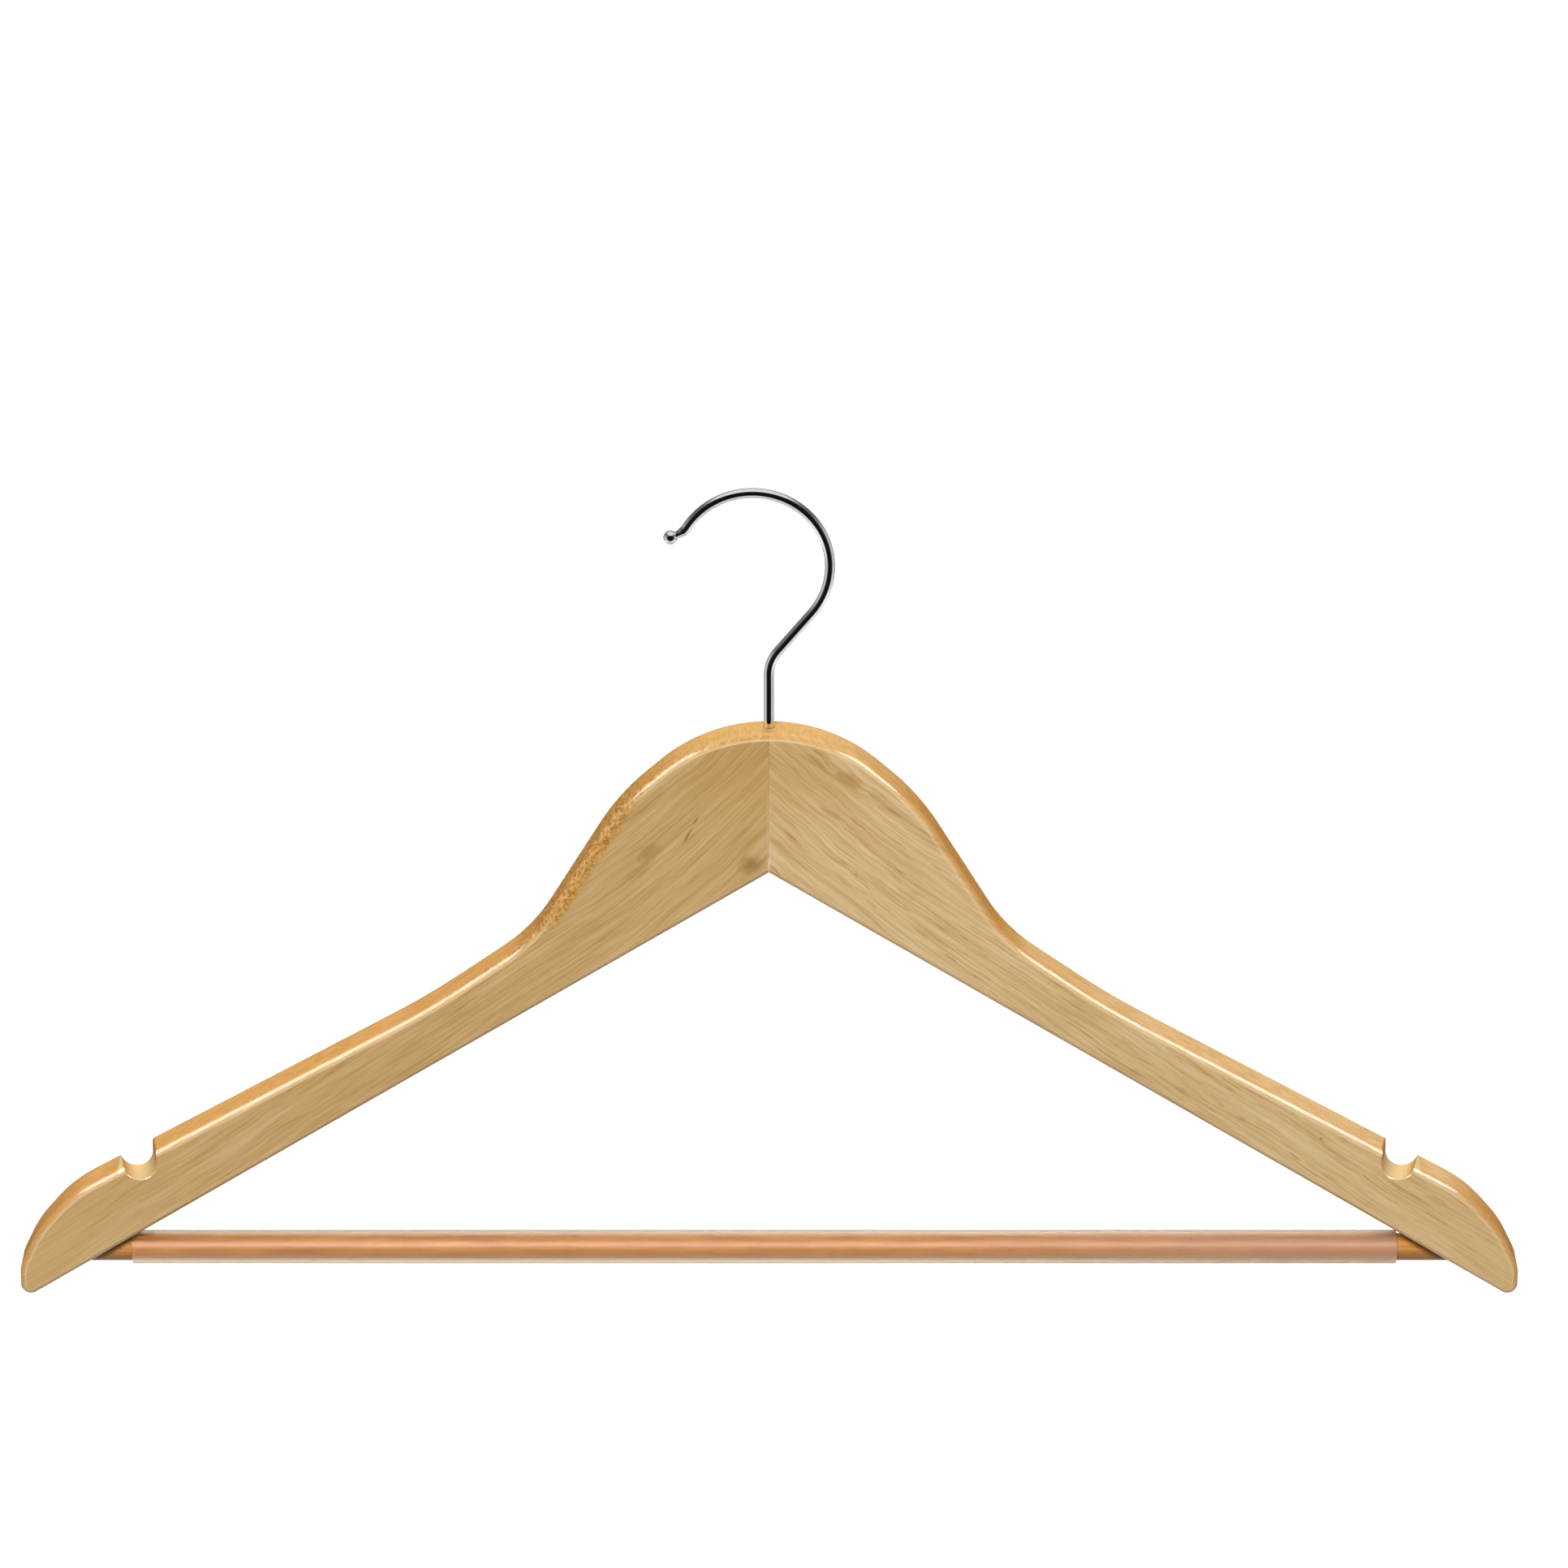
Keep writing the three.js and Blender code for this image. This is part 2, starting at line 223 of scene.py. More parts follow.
# ---------------------------------------------------------------- material helpers
class Shader:
    """Short names for the nodes that the procedural materials are made of."""

    def __init__(self, name):
        self.material = bpy.data.materials.new(name)
        self.material.use_nodes = True
        self.tree = self.material.node_tree
        self.tree.nodes.clear()
        self.out = self.tree.nodes.new("ShaderNodeOutputMaterial")
        self.coord = self.tree.nodes.new("ShaderNodeTexCoord")
        self.bsdf = self.tree.nodes.new("ShaderNodeBsdfPrincipled")
        self.tree.links.new(self.bsdf.outputs[0], self.out.inputs[0])
        self.mm = self.vector("SCALE", self.coord.outputs["Object"], scale=1000.0)

    def put(self, socket, value):
        if isinstance(value, bpy.types.NodeSocket):
            self.tree.links.new(value, socket)
        elif value is not None:
            socket.default_value = value

    def math(self, operation, a, b=None, clamp=False):
        node = self.tree.nodes.new("ShaderNodeMath")
        node.operation = operation
        node.use_clamp = clamp
        for socket, value in zip(node.inputs, (a, b)):
            self.put(socket, value)
        return node.outputs[0]

    def vector(self, operation, a, b=None, scale=None):
        node = self.tree.nodes.new("ShaderNodeVectorMath")
        node.operation = operation
        self.put(node.inputs[0], a)
        self.put(node.inputs[1], b)
        if scale is not None:
            self.put(node.inputs["Scale"], scale)
        return node.outputs["Value" if operation in ("DOT_PRODUCT", "LENGTH") else "Vector"]

    def xyz(self, vector):
        node = self.tree.nodes.new("ShaderNodeSeparateXYZ")
        self.put(node.inputs[0], vector)
        return node.outputs

    def join(self, x, y, z):
        node = self.tree.nodes.new("ShaderNodeCombineXYZ")
        for socket, value in zip(node.inputs, (x, y, z)):
            self.put(socket, value)
        return node.outputs[0]

    def noise(self, vector, scale=1.0, detail=2.0, roughness=0.5, distortion=0.0):
        node = self.tree.nodes.new("ShaderNodeTexNoise")
        self.put(node.inputs["Vector"], vector)
        node.inputs["Scale"].default_value = scale
        node.inputs["Detail"].default_value = detail
        node.inputs["Roughness"].default_value = roughness
        node.inputs["Distortion"].default_value = distortion
        return node.outputs[0]

    def cells(self, vector, scale=1.0):
        node = self.tree.nodes.new("ShaderNodeTexVoronoi")
        self.put(node.inputs["Vector"], vector)
        node.inputs["Scale"].default_value = scale
        return node.outputs["Distance"]

    def smooth(self, value, low, high, to_low=0.0, to_high=1.0):
        node = self.tree.nodes.new("ShaderNodeMapRange")
        node.interpolation_type = "SMOOTHSTEP"
        self.put(node.inputs["Value"], value)
        node.inputs["From Min"].default_value = low
        node.inputs["From Max"].default_value = high
        node.inputs["To Min"].default_value = to_low
        node.inputs["To Max"].default_value = to_high
        return node.outputs[0]

    def ramp(self, value, stops):
        node = self.tree.nodes.new("ShaderNodeValToRGB")
        self.put(node.inputs[0], value)
        ramp = node.color_ramp
        while len(ramp.elements) < len(stops):
            ramp.elements.new(0.5)
        for element, (position, colour) in zip(ramp.elements, stops):
            element.position = position
            element.color = (*srgb(colour), 1.0)
        return node.outputs[0]

    def mix(self, factor, a, b):
        node = self.tree.nodes.new("ShaderNodeMix")
        node.data_type = "RGBA"
        self.put(node.inputs[0], factor)
        self.put(node.inputs[6], (*srgb(a), 1.0) if isinstance(a, str) else a)
        self.put(node.inputs[7], (*srgb(b), 1.0) if isinstance(b, str) else b)
        return node.outputs[2]

    def bump(self, height, strength, distance_mm):
        node = self.tree.nodes.new("ShaderNodeBump")
        node.inputs["Strength"].default_value = strength
        node.inputs["Distance"].default_value = distance_mm * MM
        self.put(node.inputs["Height"], height)
        self.put(self.bsdf.inputs["Normal"], node.outputs[0])

    def set(self, **values):
        for name, value in values.items():
            self.put(self.bsdf.inputs[name.replace("_", " ")], value)


def srgb(text):
    channels = [int(text[i : i + 2], 16) / 255 for i in (1, 3, 5)]
    return tuple(c / 12.92 if c <= 0.04045 else ((c + 0.055) / 1.055) ** 2.4 for c in channels)


def spot(s, x, z, length, width, angle_deg):
    """Squared distance, in its own radii, from an oval mark on the face."""
    px, _, pz = s.xyz(s.mm)
    dx = s.math("SUBTRACT", px, x)
    dz = s.math("SUBTRACT", pz, z)
    c, n = math.cos(math.radians(angle_deg)), math.sin(math.radians(angle_deg))
    along = s.math("ADD", s.math("MULTIPLY", dx, c / length), s.math("MULTIPLY", dz, n / length))
    across = s.math("ADD", s.math("MULTIPLY", dx, -n / width), s.math("MULTIPLY", dz, c / width))
    return s.math("ADD", s.math("MULTIPLY", along, along), s.math("MULTIPLY", across, across))


def arm_wood(name, side, tones, edges, bend, wave, streaks, ragged, marks):
    """Lacquered timber with its grain along one arm."""
    light, middle, dark, streak = tones
    flat_edge, steep_edge = edges
    s = Shader(name)
    c, n = math.cos(GRAIN_ANGLE), math.sin(GRAIN_ANGLE)
    px, py, pz = s.xyz(s.mm)
    along = s.vector("DOT_PRODUCT", s.mm, (side * c, 0, -n))
    across = s.vector("DOT_PRODUCT", s.mm, (side * n, 0, c))
    # The grain turns up as it nears the seam, and wavers.
    near = s.math("SUBTRACT", 1.0, s.math("DIVIDE", s.math("ABSOLUTE", px), 58.0), clamp=True)
    across = s.math("SUBTRACT", across, s.math("MULTIPLY", s.math("POWER", near, 2.0), bend))
    drift = s.noise(s.vector("SCALE", s.mm, scale=0.035), detail=2.0)
    ripple = s.noise(s.vector("SCALE", s.mm, scale=0.13), detail=1.0)
    sway = s.math("MULTIPLY", s.math("SUBTRACT", drift, 0.5), 2.6)
    shake = s.math("MULTIPLY", s.math("SUBTRACT", ripple, 0.5), s.smooth(near, 0.0, 0.8, 0.3, wave))
    across = s.math("ADD", across, s.math("ADD", sway, shake))

    def grain(run, width, depth, detail, roughness=0.55):
        return s.noise(
            s.join(
                s.math("MULTIPLY", along, 1 / run),
                s.math("MULTIPLY", across, 1 / width),
                s.math("MULTIPLY", py, 1 / depth),
            ),
            detail=detail,
            roughness=roughness,
        )

    broad = grain(60.0, 4.0, 9.0, 3.0)
    fine = grain(18.0, 0.68, 4.0, 2.0, 0.6)
    dashes = grain(8.0, 0.62, 2.0, 1.0)
    cloud = s.noise(s.vector("SCALE", s.mm, scale=0.028), detail=3.0)
    tone = s.math("ADD", s.math("MULTIPLY", fine, 0.66), s.math("MULTIPLY", broad, 0.34))
    colour = s.ramp(tone, [(0.33, dark), (0.49, middle), (0.65, light)])
    patchy = s.math("MULTIPLY", s.smooth(dashes, 0.60, 0.74), s.smooth(broad, 0.62, 0.42, 0.25, 1.0))
    colour = s.mix(s.math("MULTIPLY", patchy, streaks), colour, streak)
    colour = s.mix(s.smooth(cloud, 0.45, 0.75, 0.0, 0.2), colour, dark)
    crown = s.math("MULTIPLY", s.smooth(near, 0.25, 0.9), s.smooth(pz, 140.0, 166.0, 0.0, 0.28))
    colour = s.mix(crown, colour, "#C2934E")
    colour = s.mix(s.smooth(s.math("ABSOLUTE", px), 150.0, 215.0, 0.0, 0.4), colour, "#DAB780")
    pores = s.cells(s.join(s.math("MULTIPLY", along, 0.085), s.math("MULTIPLY", across, 0.12), 0.0))
    colour = s.mix(s.smooth(pores, 0.018, 0.030, 0.35, 0.0), colour, "#6B4A26")
    mottle = s.noise(s.mm, 0.6, 2.0)
    wobble = s.math("MULTIPLY", s.math("SUBTRACT", mottle, 0.5), 1.1)
    for x, z, length, width, angle, strength, tint in marks:
        away = spot(s, x, z, length, width, angle)
        colour = s.mix(s.smooth(s.math("ADD", away, wobble), 0.0, 1.2, strength, 0.0), colour, tint)
    # Painted highlight: a pale line along the lower part of the mitre seam, with a ragged upper end.
    seam_highlight = s.smooth(s.math("ABSOLUTE", px), 0.1, 0.8, 0.32, 0.0)
    seam_highlight_reach = s.math("ADD", pz, s.math("MULTIPLY", mottle, 9.0))
    seam_highlight = s.math("MULTIPLY", seam_highlight, s.smooth(seam_highlight_reach, 158, 168, 1.0, 0.0))
    colour = s.mix(seam_highlight, colour, "#E2CDAB")

    # Edges: the lacquer and the cut grain read warmer on every rounded or end face.
    normal = s.coord.outputs["Normal"]
    nx, ny, nz = s.xyz(normal)
    flatness = s.math("ABSOLUTE", ny)
    edge = s.smooth(flatness, 0.60, 0.95, 1.0, 0.0)
    speckle = s.noise(s.join(px, s.math("MULTIPLY", py, 0.8), pz), 0.95, 3.0, 0.72)
    rough_end = s.ramp(speckle, [(0.38, "#A06A26"), (0.5, "#C8913F"), (0.62, "#DEB066")])
    rough_end = s.mix(s.smooth(s.math("ABSOLUTE", px), 85.0, 105.0), rough_end, steep_edge)
    up = s.smooth(nz, 0.58, 0.92)
    crest = s.mix(s.smooth(near, 0.3, 0.9), flat_edge, "#DEB06A")
    warm = s.mix(up, rough_end if ragged else steep_edge, crest)
    warm = s.mix(s.smooth(fine, 0.62, 0.38, 0.0, 0.22), warm, "#A8702A")
    # Painted light: the inside of the notch is lightened, most on its floor and the wall that faces out,
    # least on the wall that faces in, which is left in shade.
    from_notch = s.math("SUBTRACT", s.math("ABSOLUTE", px), NOTCH_X + 1)
    scoop = s.smooth(s.math("ABSOLUTE", from_notch), 5.2, 6.0, 1.0, 0.0)
    scoop = s.math("MULTIPLY", scoop, s.smooth(pz, 41.8, 43.0, 1.0, 0.0))
    facing_out = s.math("MULTIPLY", nx, side)
    scoop = s.math("MULTIPLY", scoop, s.smooth(facing_out, -0.75, 0.1, 0.25, 0.9))
    warm = s.mix(scoop, warm, "#E2C790")
    # Painted shade: rounded and end faces that turn downwards are darkened towards the dark grain tone.
    below = s.smooth(nz, -0.75, -0.15, 1.0, 0.0)
    warm = s.mix(s.math("MULTIPLY", below, 0.85), warm, dark)
    colour = s.mix(s.math("MULTIPLY", edge, 0.95), colour, warm)
    # A painted highlight: a pale line where the round-over starts, at the rim of the face.
    rim = s.math("MULTIPLY", s.smooth(flatness, 0.78, 0.90), s.smooth(flatness, 0.955, 0.995, 0.5, 0.0))
    colour = s.mix(rim, colour, "#EACF9C")
    if ragged:
        # Coarse sanding leaves torn end grain some way onto the face beside the neck.
        run = Vector((NECK[0] - FLANK[0], NECK[1] - FLANK[1])).normalized()
        at_x = s.math("SUBTRACT", s.math("ABSOLUTE", px), FLANK[0])
        at_z = s.math("SUBTRACT", pz, FLANK[1])
        inside = s.math("ADD", s.math("MULTIPLY", at_x, -run.y), s.math("MULTIPLY", at_z, run.x))
        down = s.math("ADD", s.math("MULTIPLY", at_x, run.x), s.math("MULTIPLY", at_z, run.y))
        torn = s.smooth(s.math("ADD", inside, s.math("MULTIPLY", speckle, 2.6)), -3.6, -1.6)
        torn = s.math("MULTIPLY", torn, s.smooth(down, -14.0, 2.0))
        torn = s.math("MULTIPLY", torn, s.smooth(down, 36.0, 50.0, 1.0, 0.0))
        colour = s.mix(s.math("MULTIPLY", torn, ragged), colour, rough_end)
    s.set(Base_Color=colour)
    s.set(Roughness=s.smooth(fine, 0.3, 0.7, 0.5, 0.4))
    s.set(Coat_Weight=s.smooth(flatness, 0.10, 0.45, 0.06, 0.5), Coat_Roughness=0.1, Coat_IOR=1.5)
    s.set(IOR=1.4, Specular_IOR_Level=s.smooth(flatness, 0.10, 0.45, 0.15, 0.4))
    height = s.math(
        "ADD",
        s.math("MULTIPLY", fine, 0.3),
        s.math("ADD", s.math("MULTIPLY", ripple, 0.8), s.math("MULTIPLY", speckle, 0.25)),
    )
    s.bump(height, 0.35, 0.12)
    return s.material


def bar_wood():
    """Warm stained dowel, with painted shade: darker underneath and where it runs into the arms."""
    s = Shader("bar_wood")
    px, py, pz = s.xyz(s.mm)
    turned = s.math("ARCTAN2", py, s.math("SUBTRACT", pz, BAR_Z))
    fine = s.noise(
        s.join(s.math("MULTIPLY", px, 1 / 22), s.math("MULTIPLY", py, 1.3), s.math("MULTIPLY", pz, 1.3)),
        detail=3.0,
        roughness=0.6,
    )
    mottle = s.noise(s.join(s.math("MULTIPLY", px, 0.09), turned, 0.0), detail=4.0)
    flecks = s.noise(
        s.join(s.math("MULTIPLY", px, 0.7), s.math("MULTIPLY", py, 1.6), s.math("MULTIPLY", pz, 1.6)),
        detail=1.0,
    )
    tone = s.math("ADD", s.math("MULTIPLY", fine, 0.6), s.math("MULTIPLY", mottle, 0.4))
    colour = s.ramp(tone, [(0.36, "#C08240"), (0.5, "#D99A50"), (0.64, "#E6B066")])
    colour = s.mix(s.smooth(flecks, 0.62, 0.78, 0.0, 0.4), colour, "#8A5526")
    # Painted shade: the colour darkens on the faces that turn downwards.
    nz = s.xyz(s.coord.outputs["Normal"])[2]
    colour = s.mix(s.smooth(nz, -0.5, 0.35, 0.72, 0.0), colour, "#7E4E22")
    # Painted shade where the bar runs into the undersides of the arms.
    gap = s.math("SUBTRACT", APEX_Z, s.math("MULTIPLY", s.math("ABSOLUTE", px), UNDERSIDE_SLOPE))
    gap = s.math("SUBTRACT", gap, pz)
    colour = s.mix(s.smooth(gap, 1.0, 3.0, 0.8, 0.0), colour, "#4E2E10")
    s.set(Base_Color=colour, Roughness=0.5, Coat_Weight=0.12, Coat_Roughness=0.2)
    s.bump(fine, 0.3, 0.08)
    return s.material


def spline_wood():
    s = Shader("spline_wood")
    px, py, pz = s.xyz(s.mm)
    fine = s.noise(
        s.join(s.math("MULTIPLY", px, 0.08), s.math("MULTIPLY", py, 1.2), s.math("MULTIPLY", pz, 1.2)),
        detail=4.0,
    )
    s.set(Base_Color=s.ramp(fine, [(0.35, "#A9824C"), (0.65, "#CDAA72")]), Roughness=0.75)
    s.bump(fine, 0.4, 0.1)
    return s.material


def clear_vinyl():
    """Clear soft tube that greys towards its edges, with a pale painted sheen in patches towards its
    right end.
    """
    s = Shader("clear_vinyl")
    px, py, pz = s.xyz(s.mm)
    sheen_patches = s.noise(s.join(s.math("MULTIPLY", px, 0.12), s.math("MULTIPLY", py, 0.5), pz), detail=4.0)
    facing = s.tree.nodes.new("ShaderNodeLayerWeight")
    facing.inputs["Blend"].default_value = 0.5
    rim = s.smooth(facing.outputs["Facing"], 0.5, 0.86)
    # Painted sheen: pale pinkish patches grow towards the right end and take away some of the clearness
    # there.
    painted_sheen = s.math("MULTIPLY", s.smooth(px, 20.0, 185.0), s.smooth(sheen_patches, 0.35, 0.65, 0.65, 1.0))
    s.set(Base_Color=s.mix(rim, s.mix(painted_sheen, "#FCEFD8", "#F4DABC"), "#B4A8A4"))
    s.set(IOR=1.47, Specular_IOR_Level=0.08)
    clear = s.math("SUBTRACT", s.smooth(rim, 0.0, 1.0, 1.0, 0.6), s.math("MULTIPLY", painted_sheen, 0.22))
    s.set(Transmission_Weight=clear, Roughness=0.38)
    return s.material


def chrome():
    s = Shader("hook_chrome")
    haze = s.noise(s.vector("SCALE", s.mm, scale=0.5), detail=4.0)
    s.set(Base_Color=s.mix(haze, "#DADADC", "#EFEFF1"), Metallic=1.0)
    s.set(Roughness=s.smooth(haze, 0.3, 0.75, 0.05, 0.11))
    s.bump(s.noise(s.mm, 0.35, 2.0), 0.08, 0.05)
    return s.material


def plated_steel():
    s = Shader("fixing_steel")
    haze = s.noise(s.vector("SCALE", s.mm, scale=1.4), detail=4.0)
    s.set(Base_Color=s.ramp(haze, [(0.3, "#8F8E8A"), (0.7, "#BDBCB8")]), Metallic=1.0)
    s.set(Roughness=s.smooth(haze, 0.3, 0.7, 0.28, 0.42))
    s.bump(haze, 0.2, 0.03)
    return s.material


# ---------------------------------------------------------------- arms
def underside(x):
    return APEX_Z - UNDERSIDE_SLOPE * abs(x)


def notch_cutter(side):
    wall = NOTCH_X - NOTCH_RADIUS
    slope = (TIP_SHOULDER[1] - SHOULDER[1]) / (TIP_SHOULDER[0] - SHOULDER[0])
    lip = SHOULDER[1] + slope * (wall - SHOULDER[0]) + 0.05
    up = 12.0
    corners = [
        (wall - up, lip - slope * up, 0),
        (wall - up, lip + up, 0),
        (NOTCH_X + NOTCH_RADIUS, lip + up, 0),
        (NOTCH_X + NOTCH_RADIUS, NOTCH_Z - NOTCH_RADIUS, NOTCH_RADIUS * 0.985),
        (wall, NOTCH_Z - NOTCH_RADIUS, NOTCH_RADIUS * 0.985),
        (wall, lip, NOTCH_LIP),
    ]
    points = rounded(corners, math.radians(5))
    normals = outward(points)
    eased = 0.3
    rings = []
    for y in (-THICKNESS, -THICKNESS / 2 + eased, THICKNESS / 2 - eased, THICKNESS):
        grow = min(max(0.0, abs(y) - THICKNESS / 2 + eased), 3.0)
        y = math.copysign(THICKNESS / 2 - eased + grow, y)
        drift = NOTCH_SKEW * (y + THICKNESS / 2)
        rings.append(
            [
                (side * (p.x + m.x * grow + drift), y, p.y + m.y * grow + slope * drift)
                for p, m in zip(points, normals)
            ]
        )
    return loft("cutter", rings)


def edge_profile(steps=12):
    """(inset from the outline, drop from the face): a round-over that lingers near 45 degrees."""
    across, down = [0.0], [0.0]
    fine = 40
    for k in range(steps * fine):
        a = math.pi / 2 * (k + 0.5) / (steps * fine)
        slow = 0.5 + 1.5 * math.exp(-(((a - math.pi / 4) / 0.3) ** 2))
        across.append(across[-1] + slow * math.cos(a))
        down.append(down[-1] + slow * math.sin(a))
    across, down = across[::fine], down[::fine]
    return [
        (EDGE_RADIUS * (1 - x / across[-1]), EDGE_RADIUS * z / down[-1]) for x, z in zip(across, down)
    ]


def arm(name, side):
    turn = math.atan2(CROWN_Z - FLANK[1], FLANK[0] - CROWN_HALF_FLAT)
    crown = CROWN_HALF_FLAT / math.tan(turn / 2)
    past = -6.0
    corners = [
        (past, CROWN_Z, 0),
        (CROWN_HALF_FLAT, CROWN_Z, crown * 0.999),
        (*FLANK, 70),
        (*NECK, 50),
        (*SHOULDER, 200),
        (*TIP_SHOULDER, 40),
        (*TIP_CHEEK, 35),
        (HALF_LENGTH, TIP_END_Z, 12),
        (HALF_LENGTH, underside(HALF_LENGTH), 3),
        (past, APEX_Z - UNDERSIDE_SLOPE * past, 0),
    ]
    points = rounded(corners, math.radians(2.5))
    normals = outward(points)
    rings = [(inset, THICKNESS / 2 - drop) for inset, drop in edge_profile()]
    rings += [(inset, -y) for inset, y in reversed(rings)]
    layers = []
    for inset, y in rings:
        layer = [(side * (p.x - m.x * inset), y, p.y - m.y * inset) for p, m in zip(points, normals)]
        layers.append(layer)
    body = loft(name, layers)
    bm = bmesh.new()
    bm.from_mesh(body.data)
    cut = bmesh.ops.bisect_plane(
        bm,
        geom=bm.verts[:] + bm.edges[:] + bm.faces[:],
        dist=1e-7,
        plane_co=(side * 0.02 * MM, 0, 0),
        plane_no=(side, 0, 0),
        clear_inner=True,
    )
    rim = [e for e in cut["geom_cut"] if isinstance(e, bmesh.types.BMEdge)]
    bmesh.ops.edgeloop_fill(bm, edges=rim)
    bmesh.ops.recalc_face_normals(bm, faces=bm.faces)
    bm.to_mesh(body.data)
    bm.free()
    carve(body, notch_cutter(side))
    bore = [(-4, WIRE_BORE_RADIUS), (60, WIRE_BORE_RADIUS)]
    carve(body, lathe("cutter", bore, (0, 0, 125), (0, 0, 1), 40))
    cone = [(-20, COUNTERBORE_RADIUS), (COUNTERBORE_TOP - 120, COUNTERBORE_RADIUS)]
    carve(body, lathe("cutter", cone, (0, 0, 120), (0, 0, 1), 56))
    groove = box_cutter(
        SPLINE_HALF_X + SPLINE_SIDE_SLACK,
        SPLINE_HALF_Y + SPLINE_SIDE_SLACK,
        SPLINE_BOTTOM - SPLINE_END_SLACK,
        SPLINE_TOP + SPLINE_END_SLACK,
    )
    carve(body, groove)
    hole = [(0, BAR_RADIUS + 0.18), (BAR_HALF + 0.3 - 170, BAR_RADIUS + 0.18)]
    carve(body, lathe("cutter", hole, (side * 170, 0, BAR_Z), (side, 0, 0), 64))
    seat = [(-6, 1.4), (1.0, 1.4), (1.01, 0.76), (12.2, 0.76)]
    carve(body, lathe("cutter", seat, (side * NAIL_X, THICKNESS / 2, BAR_Z), (0, -1, 0), 32))
    finish_edges(body)
    return body


def box_cutter(half_x, half_y, z0, z1):
    rings = []
    for y in (-half_y, half_y):
        rings.append([(-half_x, y, z0), (half_x, y, z0), (half_x, y, z1), (-half_x, y, z1)])
    return loft("cutter", rings, smooth=False)


# ---------------------------------------------------------------- hook
def hook_path():
    """(x, z, direction angle, distance from start) along the middle of the wire."""
    points = []

    def run(x0, z0, x1, z1, step):
        length = math.hypot(x1 - x0, z1 - z0)
        heading = math.atan2(z1 - z0, x1 - x0)
        count = max(1, math.ceil(length / step))
        for k in range(count):
            points.append((x0 + (x1 - x0) * k / count, z0 + (z1 - z0) * k / count, heading))

    def arc(cx, cz, radius, a0, a1):
        count = math.ceil(abs(a1 - a0) / math.radians(2.2))
        way = math.copysign(math.pi / 2, a1 - a0)
        for k in range(count):
            a = a0 + (a1 - a0) * k / count
            points.append((cx + radius * math.cos(a), cz + radius * math.sin(a), a + way))

    lean = -RUN_ON
    ring_x = RING_X + RING_RADIUS * math.cos(RUN_ON)
    ring_z = RING_Z + RING_RADIUS * math.sin(RUN_ON)
    bend_z = ring_z - ring_x / math.tan(lean) - SHANK_BEND * math.tan(lean / 2)
    run(0, SHANK_END_Z, 0, 149.0, 0.06)
    run(0, 149.0, 0, bend_z, 2.0)
    arc(SHANK_BEND, bend_z, SHANK_BEND, math.pi, math.pi - lean)
    end_x = SHANK_BEND * (1 - math.cos(lean))
    end_z = bend_z + SHANK_BEND * math.sin(lean)
    run(end_x, end_z, ring_x, ring_z, 1.5)
    arc(RING_X, RING_Z, RING_RADIUS, RUN_ON, RUN_OFF)
    curl_x = RING_X + (RING_RADIUS + CURL_RADIUS) * math.cos(RUN_OFF)
    curl_z = RING_Z + (RING_RADIUS + CURL_RADIUS) * math.sin(RUN_OFF)
    a0 = RUN_OFF - math.pi
    a1 = a0 - CURL_ANGLE
    arc(curl_x, curl_z, CURL_RADIUS, a0, a1)
    start_x = curl_x + CURL_RADIUS * math.cos(a1)
    start_z = curl_z + CURL_RADIUS * math.sin(a1)
    heading = a1 - math.pi / 2
    reach = TIP_NECK + BALL_RADIUS
    run(start_x, start_z, start_x + reach * math.cos(heading), start_z + reach * math.sin(heading), 0.11)
    out, travelled = [], 0.0
    for i, (x, z, direction) in enumerate(points):
        if i:
            travelled += math.hypot(x - points[i - 1][0], z - points[i - 1][1])
        out.append((x, z, direction, travelled))
    return out


def hook():
    path = hook_path()
    sides = 36
    ball_at = path[-1][3] + 0.11 - BALL_RADIUS
    neck = 1.12
    rings = []
    for x, z, direction, s in path:
        off_x, off_z = -math.sin(direction), math.cos(direction)
        before = ball_at - s
        radius = WIRE_RADIUS
        if before < 4.4:
            t = max(0.0, min(1.0, (before - 1.6) / 2.8))
            radius = neck + (WIRE_RADIUS - neck) * t * t * (3 - 2 * t)
        inside = BALL_RADIUS**2 - before**2
        if inside > 0:
            radius = max(radius if before > 0 else 0.05, math.sqrt(inside))
        ring = []
        for k in range(sides):
            a = 2 * math.pi * k / sides
            r = radius
            if z < 147.6 and s < 12:
                turns = (a / (2 * math.pi) + s / 0.5) % 1.0
                depth = 0.24 * min(1.0, s / 0.5, max(0.0, (147.6 - z) / 0.6))
                r -= depth * abs(2 * turns - 1)
            if s < 0.45:
                r = min(r, 1.05 + s)
            ring.append(
                (x + off_x * r * math.cos(a), r * math.sin(a), z + off_z * r * math.cos(a))
            )
        rings.append(ring)
    obj = loft("bent_hook", rings)
    obj.data.set_sharp_from_angle(angle=math.radians(50))
    return obj


# ---------------------------------------------------------------- small pieces
def washer():
    top = COUNTERBORE_TOP - 0.05
    inner, outer, height, ease = WIRE_BORE_RADIUS, 3.55, 0.62, 0.1
    profile = [
        (-height, inner + ease),
        (-height, outer - ease),
        (-height + ease, outer),
        (-ease, outer),
        (0, outer - ease),
        (0, inner + ease),
        (-ease, inner),
        (-height + ease, inner),
    ]
    obj = lathe("thrust_washer", profile, (0, 0, top), (0, 0, 1), 56, closed=True)
    finish_edges(obj)
    return obj


def lock_nut():
    bottom, height, corner = 139.05, 3.45, 3.12
    obj = lathe("lock_nut", [(0, corner), (height, corner)], (0, 0, bottom), (0, 0, 1), 6)
    cap = [(-0.01, 2.65), (0.35, corner + 0.1), (height - 0.35, corner + 0.1), (height + 0.01, 2.65)]
    carve(obj, lathe("cutter", cap, (0, 0, bottom), (0, 0, 1), 64), "INTERSECT")
    bore = [(-1, 2.2), (0.45, 1.56), (height - 0.45, 1.56), (height + 1, 2.2)]
    carve(obj, lathe("cutter", bore, (0, 0, bottom), (0, 0, 1), 48))
    finish_edges(obj, 25)
    return obj


